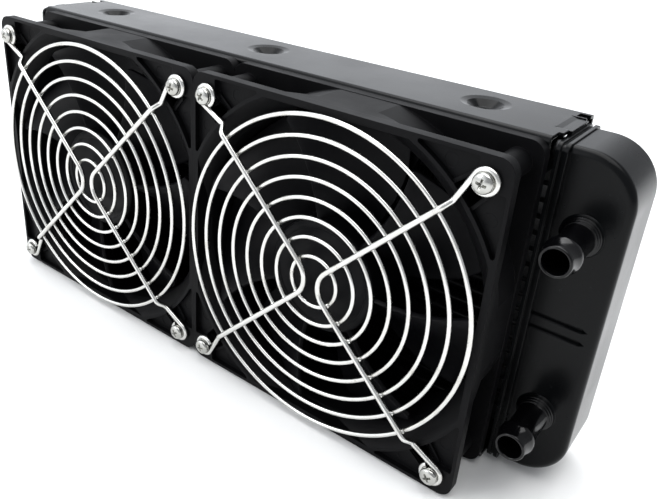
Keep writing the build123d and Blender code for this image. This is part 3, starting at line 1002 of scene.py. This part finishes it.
@dataclass
class FanScrews:
    """Four pan-head cross-recess screws through the eyelets."""

    place: FanPlace
    shelf: FinishShelf
    hole_pitch: float = 105.0 * MM
    head_radius: float = 3.1 * MM
    head: float = 2.2 * MM
    seat: float = -2.0 * MM
    shank_radius: float = 1.75 * MM
    shank: float = 28.0 * MM
    thread_pitch: float = 0.8 * MM
    threads: int = 12
    recess_width: float = 1.0 * MM
    recess_reach: float = 2.0 * MM
    recess_depth: float = 1.5 * MM
    recess_rise: float = 0.25 * MM
    recess_taper: float = 0.45
    edge: float = 0.07 * MM
    turns: tuple[float, ...] = (12.0, 57.0, 33.0, 78.0)

    def recess(self, centre: Vector) -> Piece:
        """The tapered cross that is cut out of the head."""
        top = centre.y + self.seat - self.head
        reach = 2 * self.recess_reach
        depth = self.recess_depth + 2 * self.recess_rise
        middle = (centre.x, top + self.recess_depth / 2 - self.recess_rise, centre.z)
        arms = []
        for name, width, height in (("bar", reach, self.recess_width), ("post", self.recess_width, reach)):
            bar = add_primitive(
                bpy.ops.mesh.primitive_cube_add, name, size=1.0, location=middle, scale=(width, depth, height)
            )
            edit(bar)
            choose(bar, Pick.FACES, lambda at, normal: normal.y > 0.9)
            taper = (self.recess_taper, 1, self.recess_taper)
            bpy.ops.transform.resize(value=taper, center_override=(centre.x, top, centre.z))
            leave_edit()
            arms.append(bar)
        modify(arms[0], "BOOLEAN", operation="UNION", object=arms[1], solver="EXACT")
        bpy.data.objects.remove(arms[1])
        return arms[0]

    def screw(self) -> Piece:
        """One screw on the fan's axis: domed head, recess, shank and thread."""
        centre = self.place.centre
        shoulder = 1.15 * MM
        top = self.seat - self.head
        dome = arc((self.head_radius - shoulder, top + shoulder + 0.3 * MM), shoulder, -58, 0, 6)
        tip = self.seat + self.shank
        start = tip - self.threads * self.thread_pitch - 0.6 * MM
        profile = [(0.0, top), (1.2 * MM, top + 0.03 * MM), *dome]
        profile += [(self.head_radius, self.seat - 0.15 * MM), (self.head_radius - 0.15 * MM, self.seat)]
        profile += [(self.shank_radius - 0.05 * MM, self.seat), (self.shank_radius - 0.05 * MM, start)]
        for number in range(self.threads):
            at = start + number * self.thread_pitch
            profile.append((self.shank_radius - 0.35 * MM, at + 0.15 * MM))
            profile.append((self.shank_radius, at + self.thread_pitch / 2))
        profile += [(self.shank_radius - 0.35 * MM, tip - 0.5 * MM), (0.9 * MM, tip), (0.0, tip)]
        piece = turned("screw", profile, centre, 64)
        cutter = self.recess(centre)
        modify(piece, "BOOLEAN", operation="DIFFERENCE", object=cutter, solver="EXACT")
        bpy.data.objects.remove(cutter)
        soften(piece, self.edge, 2)
        bpy.ops.object.shade_smooth_by_angle(angle=math.radians(38))
        return piece

    def build(self) -> None:
        """Copies the screw to the four corners, each turned its own way, and dresses the group."""
        centre = self.place.centre
        first = self.screw()
        half = self.hole_pitch / 2
        places = [(-half, -half), (-half, half), (half, -half), (half, half)]
        group = []
        for number, ((x, z), turn) in enumerate(zip(places, self.turns)):
            place = Matrix.Translation((x, 0, z)) @ turn_y(turn, centre)
            group.append(copy_piece(first, f"screw_{number}", place))
        bpy.data.objects.remove(first)
        screws = join(f"{self.place.side.value}_fan_screws", group)
        self.shelf.dress(screws, "screw_plating")
        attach(screws, "radiator")
        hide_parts(self.place.node("fan_screws"))


@dataclass
class FinPack:
    """The corrugated fins between the coolant tubes, in one strip for each gap."""

    shelf: FinishShelf
    tubes: int = 17
    tube_pitch: float = 5.6 * MM
    tube_thickness: float = 1.8 * MM
    fin_pitch: float = 1.45 * MM
    sheet: float = 0.14 * MM
    crest: float = 0.38 * MM
    face_setback: float = 0.25 * MM

    def fold(self, start: Vector, height: float) -> Piece:
        """One full wave of the strip, seen from the front: up, over a round crest, down and round again."""
        rise = height / 2 - self.crest * 0.5
        points = []
        for side in (1.0, -1.0):
            base = 0.0 if side > 0 else self.fin_pitch
            points += [
                (base, -side * rise),
                (base + self.fin_pitch * 0.06, side * rise),
                (base + self.fin_pitch * 0.3, side * height / 2),
                (base + self.fin_pitch * 0.76, side * height / 2),
            ]
        points.append((2 * self.fin_pitch, -rise))
        return draw_line("fin_strip", [start + Vector((x, 0, z)) for x, z in points])

    def strip(self) -> Piece:
        """The lowest strip, one fold repeated along the core, drawn back through it and given its wall."""
        low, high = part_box("core_fins")
        height = self.tube_pitch - self.tube_thickness - self.sheet
        middle = (low.z + high.z) / 2 - self.tubes * self.tube_pitch / 2
        start = Vector((low.x, low.y + self.face_setback, middle))
        folds = int((high.x - low.x) / (2 * self.fin_pitch))
        piece = self.fold(start, height)
        leave_edit()
        modify(
            piece,
            "ARRAY",
            count=folds,
            use_relative_offset=False,
            use_constant_offset=True,
            constant_offset_displace=(2 * self.fin_pitch, 0, 0),
            use_merge_vertices=True,
            merge_threshold=0.01 * MM,
        )
        edit(piece)
        bpy.ops.mesh.select_mode(type="EDGE")
        bpy.ops.mesh.select_all(action="SELECT")
        extrude((0, high.y - low.y - 2 * self.face_setback, 0))
        leave_edit()
        modify(piece, "SOLIDIFY", thickness=self.sheet, offset=0.0)
        tidy_mesh(piece, 50)
        return piece

    def build(self) -> None:
        """Makes the strips, joins them and dresses the pack."""
        first = self.strip()
        strips = [first]
        for number in range(1, self.tubes + 1):
            place = Matrix.Translation((0, 0, number * self.tube_pitch))
            strips.append(copy_piece(first, f"fin_{number}", place))
        pack = join("fin_pack", strips)
        self.shelf.dress(pack, "painted_core")
        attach(pack, "radiator")
        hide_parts("core_fins")


@dataclass
class HoseBarb:
    """A turned hose barb with a rolled mouth, a sharp crown, three collars and a brazing fillet."""

    shelf: FinishShelf
    node: str
    bore: float = 3.8 * MM
    tube: float = 4.85 * MM
    crown: float = 5.75 * MM
    lip: float = 1.6 * MM
    ramp: float = 3.4 * MM
    land: float = 1.2 * MM
    collars: tuple[Flat, ...] = ((6.3, 1.5), (5.9, 0.9), (5.5, 0.8))
    collar_edge: float = 0.25 * MM

    def profile(self, length: float, face: float) -> list[Flat]:
        """The barb's outline from the mouth to the end of its spigot, as (radius, depth) points.

        Args:
            length: The barb's whole length.
            face: The depth of the tank's face, where the collars sit.

        Returns:
            The closed outline.
        """
        lip_middle = ((self.bore + self.tube) / 2, 0.45 * MM)
        lip_round = (self.tube - self.bore) / 2
        mouth = arc(lip_middle, lip_round, -170, -10, 8)
        top = self.lip + self.ramp
        points = [(self.bore, 1.2 * MM), *mouth, (self.tube, self.lip)]
        points += [(self.crown - 0.2 * MM, top - 0.35 * MM), (self.crown, top + 0.05 * MM)]
        points += [(self.crown, top + self.land), (self.crown - 0.15 * MM, top + self.land + 0.12 * MM)]
        points.append((self.tube + 0.15 * MM, top + self.land + 0.2 * MM))
        points.append((self.tube, top + self.land + 0.5 * MM))
        depth = face - sum(size for _, size in self.collars) * MM
        points += [(self.tube, depth - 0.35 * MM), (self.tube + 0.2 * MM, depth)]
        for radius, size in reversed(self.collars):
            outer = radius * MM
            flat = outer - self.collar_edge
            rounded = arc((flat, depth + self.collar_edge), self.collar_edge, -60, 0, 3)
            points += [(flat, depth), *rounded]
            depth += size * MM
            points.append((outer, depth - 0.02 * MM))
        points += [(self.tube, face), (self.tube, length), (self.bore, length), (self.bore, 1.2 * MM)]
        return points

    def build(self) -> None:
        """Turns the barb and lays the fillet of braze round its foot."""
        low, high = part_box(self.node)
        centre = Vector(((low.x + high.x) / 2, low.y, (low.z + high.z) / 2))
        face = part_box("inlet_tank")[0].y - low.y
        barb = turned(self.node.replace("hose_barb", "barb"), self.profile(high.y - low.y, face), centre)
        self.shelf.dress(barb, "painted_barb")
        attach(barb, "radiator")
        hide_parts(self.node)
        foot = self.collars[0][0] * MM
        outline = [(foot - 0.3 * MM, face - 0.8 * MM), (foot + 0.02 * MM, face - 0.75 * MM)]
        outline += [(foot + 0.15 * MM, face - 0.3 * MM), (foot + 0.55 * MM, face - 0.03 * MM)]
        outline += [(foot + 0.6 * MM, face + 0.1 * MM), (foot - 0.3 * MM, face + 0.1 * MM)]
        outline.append(outline[0])
        fillet = turned(self.node.replace("hose_barb", "braze"), outline, centre)
        self.shelf.dress(fillet, "painted_aluminium")
        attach(fillet, "radiator")


# ---------------------------------------------------------------------------------------------- stage


@dataclass
class Studio:
    """The pale floor, the soft light and the camera."""

    floor_size: float = 12.0
    floor_gap: float = 0.3 * MM
    sky_colour: str = "#F4F7FC"
    sky_left: float = 1.75
    sky_right: float = 0.55
    camera_place: Point = (0.17231, -0.19915, 0.18339)
    azimuth: float = 35.898
    elevation: float = 25.458
    roll: float = 4.182
    lens: float = 38.769
    shift: Flat = (0.03105, -0.05075)

    def floor(self) -> None:
        """A wide sheet just under the radiator."""
        floor = add_primitive(
            bpy.ops.mesh.primitive_plane_add, "floor", size=self.floor_size, location=(0, 0, -self.floor_gap)
        )
        edit(floor)
        bpy.ops.mesh.subdivide(number_cuts=3)
        leave_edit()
        floor.data.materials.append(PaleFloor().material())

    def sky(self) -> None:
        """A white surround like a studio screen's, which falls off towards the right."""
        world = bpy.data.worlds.new("studio")
        bpy.context.scene.world = world
        world.use_nodes = True
        tree = world.node_tree
        tree.nodes.clear()
        way = add_node(tree, "TexCoord").outputs["Generated"]
        parts = add_node(tree, "SeparateXYZ", links={"Vector": way})
        screen = add_node(
            tree,
            "MapRange",
            {"interpolation_type": "SMOOTHSTEP"},
            {"From Min": -0.45, "From Max": 0.3, "To Min": self.sky_left, "To Max": self.sky_right},
            {"Value": parts.outputs["X"]},
        )
        light = add_node(
            tree,
            "Background",
            values={"Color": linear(self.sky_colour)},
            links={"Strength": screen.outputs["Result"]},
        )
        add_node(tree, "OutputWorld", links={"Surface": light.outputs[0]})

    def lamp(self, name: str, place: Point, aim: Point, size: Flat, power: float) -> None:
        """One soft box.

        Args:
            name: The lamp's name.
            place: Where it stands.
            aim: The point that it faces.
            size: Its width and height.
            power: Its power in watts.
        """
        data = bpy.data.lights.new(name, "AREA")
        data.shape = "RECTANGLE"
        data.size, data.size_y = size
        data.energy = power
        lamp = bpy.data.objects.new(name, data)
        lamp.location = place
        lamp.rotation_euler = (Vector(aim) - Vector(place)).to_track_quat("-Z", "Y").to_euler()
        bpy.context.scene.collection.objects.link(lamp)

    def camera(self) -> None:
        """Sets the camera from its place, its direction and its roll."""
        turn, tilt, roll = (math.radians(v) for v in (self.azimuth, self.elevation, self.roll))
        back = Vector((math.sin(turn) * math.cos(tilt), -math.cos(turn) * math.cos(tilt), math.sin(tilt)))
        right = (-back).cross(Vector((0, 0, 1))).normalized()
        up = right.cross(-back)
        across = right * math.cos(roll) + up * math.sin(roll)
        upright = up * math.cos(roll) - right * math.sin(roll)
        data = bpy.data.cameras.new("camera")
        data.sensor_fit = "HORIZONTAL"
        data.sensor_width = 36.0
        data.lens = self.lens
        data.shift_x, data.shift_y = self.shift
        data.clip_start = 0.01
        camera = bpy.data.objects.new("camera", data)
        axes = Matrix((across, upright, back)).transposed().to_4x4()
        camera.matrix_world = Matrix.Translation(self.camera_place) @ axes
        bpy.context.scene.collection.objects.link(camera)
        bpy.context.scene.camera = camera

    def build(self) -> None:
        """Sets the whole stage."""
        bpy.context.scene.view_settings.view_transform = "Standard"
        self.camera()
        self.floor()
        self.sky()
        middle = (0.0, 0.0, 0.06)
        self.lamp("overhead", (0.1, 0.15, 1.1), middle, (1.4, 0.9), 14.0)
        self.lamp("front_left", (-0.9, -1.2, 0.9), middle, (0.9, 0.7), 10.0)


def main() -> None:
    """Builds the stage, the finishes and each sub-assembly in order."""
    logging.basicConfig(level=logging.INFO, format="%(name)s: %(message)s")
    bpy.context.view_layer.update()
    shelf = FinishShelf()
    shelf.dress_nodes()
    Studio().build()
    for side in Side:
        place = FanPlace(side)
        Impeller(place, shelf).build()
        LOG.info("%s impeller", side.value)
        WireGuard(place, shelf).build()
        LOG.info("%s guard", side.value)
        FanScrews(place, shelf).build()
        LOG.info("%s screws", side.value)
    FinPack(shelf).build()
    LOG.info("fins")
    for node in ("hose_barb_upper", "hose_barb_lower"):
        HoseBarb(shelf, node).build()
        LOG.info("%s", node)


if __name__ == "__main__":
    main()
